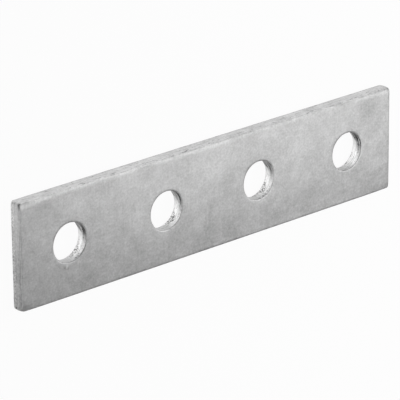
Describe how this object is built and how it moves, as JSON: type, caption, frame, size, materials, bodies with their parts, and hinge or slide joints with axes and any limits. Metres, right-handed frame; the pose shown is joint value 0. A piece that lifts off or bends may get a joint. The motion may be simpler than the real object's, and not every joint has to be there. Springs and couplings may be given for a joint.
{
  "type": "mending plate",
  "caption": "Flat hot-dip galvanised steel bar with a row of punched bolt holes, for joining or mending members end to end.",
  "frame": {"origin": "centre of the back face, which the loose plate lies on", "axes": "+X along the plate and its row of holes, +Y across the width, +Z out of the front face (the punch side)"},
  "size_m": [0.22, 0.05, 0.006],
  "materials": {
    "galvanised_steel": "hot-dip galvanised mild steel: dull pale grey zinc, faintly clouded, bright where the punch burnished the hole walls"
  },
  "bodies": {
    "root": {"plate": "galvanised_steel"}
  },
  "joints": []
}
